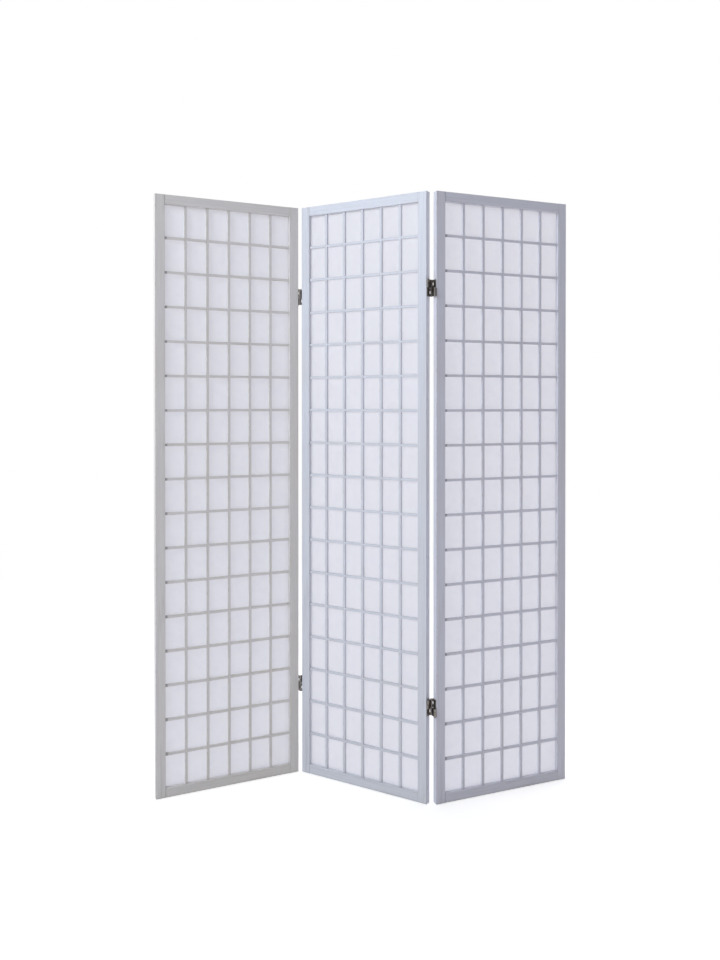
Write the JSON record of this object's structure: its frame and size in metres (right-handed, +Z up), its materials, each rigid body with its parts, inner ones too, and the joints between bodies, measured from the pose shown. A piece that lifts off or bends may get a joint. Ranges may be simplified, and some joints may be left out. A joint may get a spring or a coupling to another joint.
{
  "type": "folding screen",
  "caption": "Free-standing folding screen with a white-painted square lattice backed by translucent paper; its panels fold flat either way on double-action hinges.",
  "frame": {"origin": "on the floor under the middle of the bounding box, in the folded pose it stands in", "axes": "+X to the right and +Y to the back as the lattice side is faced, +Z up"},
  "size_m": [1.2215, 0.2676, 1.75],
  "materials": {
    "painted_wood": "white satin paint over softwood, brushed, edges eased",
    "painted_lattice": "white satin paint over thin softwood bars",
    "painted_bead": "white satin paint over softwood beading",
    "shoji_paper": "translucent long-fibre paper, matte, slightly cockled",
    "bare_wood": "unfinished beech dowel",
    "brad_steel": "bright drawn steel wire",
    "hinge_steel": "pressed steel, antique plated: blackened, then rubbed bright at the edges",
    "pin_steel": "turned steel pin",
    "screw_steel": "blackened steel wood screw, countersunk, cross recess"
  },
  "bodies": {
    "centre_panel": {"centre_panel_left_stile": "painted_wood", "centre_panel_right_stile": "painted_wood", "centre_panel_bottom_rail": "painted_wood", "centre_panel_top_rail": "painted_wood", "centre_panel_vertical_bars": "painted_lattice", "centre_panel_horizontal_bars": "painted_lattice", "centre_panel_paper": "shoji_paper", "centre_panel_side_beads": "painted_bead", "centre_panel_end_beads": "painted_bead", "centre_panel_brads": "brad_steel", "centre_panel_dowels": "bare_wood", "left_top_hinge_centre_leaf": "hinge_steel", "left_bottom_hinge_centre_leaf": "hinge_steel", "right_top_hinge_centre_leaf": "hinge_steel", "right_bottom_hinge_centre_leaf": "hinge_steel", "left_centre_leaf_screws": "screw_steel", "right_centre_leaf_screws": "screw_steel", "left_open_pin_ends": "pin_steel", "right_open_pin_ends": "pin_steel"},
    "left_upper_links": {"left_top_hinge_upper_link": "hinge_steel", "left_bottom_hinge_upper_link": "hinge_steel", "left_upper_link_pins": "pin_steel"},
    "left_panel": {"left_panel_left_stile": "painted_wood", "left_panel_right_stile": "painted_wood", "left_panel_bottom_rail": "painted_wood", "left_panel_top_rail": "painted_wood", "left_panel_vertical_bars": "painted_lattice", "left_panel_horizontal_bars": "painted_lattice", "left_panel_paper": "shoji_paper", "left_panel_side_beads": "painted_bead", "left_panel_end_beads": "painted_bead", "left_panel_brads": "brad_steel", "left_panel_dowels": "bare_wood", "left_top_hinge_outer_leaf": "hinge_steel", "left_bottom_hinge_outer_leaf": "hinge_steel", "left_outer_leaf_screws": "screw_steel"},
    "left_lower_links": {"left_top_hinge_lower_link": "hinge_steel", "left_bottom_hinge_lower_link": "hinge_steel", "left_lower_link_pins": "pin_steel"},
    "right_upper_links": {"right_top_hinge_upper_link": "hinge_steel", "right_bottom_hinge_upper_link": "hinge_steel", "right_upper_link_pins": "pin_steel"},
    "right_panel": {"right_panel_left_stile": "painted_wood", "right_panel_right_stile": "painted_wood", "right_panel_bottom_rail": "painted_wood", "right_panel_top_rail": "painted_wood", "right_panel_vertical_bars": "painted_lattice", "right_panel_horizontal_bars": "painted_lattice", "right_panel_paper": "shoji_paper", "right_panel_side_beads": "painted_bead", "right_panel_end_beads": "painted_bead", "right_panel_brads": "brad_steel", "right_panel_dowels": "bare_wood", "right_top_hinge_outer_leaf": "hinge_steel", "right_bottom_hinge_outer_leaf": "hinge_steel", "right_outer_leaf_screws": "screw_steel"},
    "right_lower_links": {"right_top_hinge_lower_link": "hinge_steel", "right_bottom_hinge_lower_link": "hinge_steel", "right_lower_link_pins": "pin_steel"}
  },
  "joints": [
    {"name": "left_rear_fold", "type": "hinge", "parent": "centre_panel", "child": "left_upper_links", "pos_m": [-0.18974, 0.12906, 0.875], "axis": [0, 0, -1], "range_deg": [0, 90]},
    {"name": "left_front_fold", "type": "hinge", "parent": "left_upper_links", "child": "left_panel", "pos_m": [-0.2014, 0.11041, 0.875], "axis": [0, 0, 1], "range_deg": [-58, 122]},
    {"name": "left_lower_link_swing", "type": "hinge", "parent": "left_panel", "child": "left_lower_links", "pos_m": [-0.21104, 0.13018, 0.875], "axis": [0, 0, 1], "range_deg": [0, 90]},
    {"name": "right_front_fold", "type": "hinge", "parent": "centre_panel", "child": "right_upper_links", "pos_m": [0.18107, -0.12859, 0.875], "axis": [0, 0, -1], "range_deg": [0, 90]},
    {"name": "right_rear_fold", "type": "hinge", "parent": "right_upper_links", "child": "right_panel", "pos_m": [0.19273, -0.10993, 0.875], "axis": [0, 0, 1], "range_deg": [-55, 125]},
    {"name": "right_lower_link_swing", "type": "hinge", "parent": "right_panel", "child": "right_lower_links", "pos_m": [0.20132, -0.13018, 0.875], "axis": [0, 0, 1], "range_deg": [0, 90]}
  ],
  "couplings": [
    {"joint": "left_lower_link_swing", "follows": "left_rear_fold", "ratio": 1},
    {"joint": "right_lower_link_swing", "follows": "right_front_fold", "ratio": 1}
  ]
}
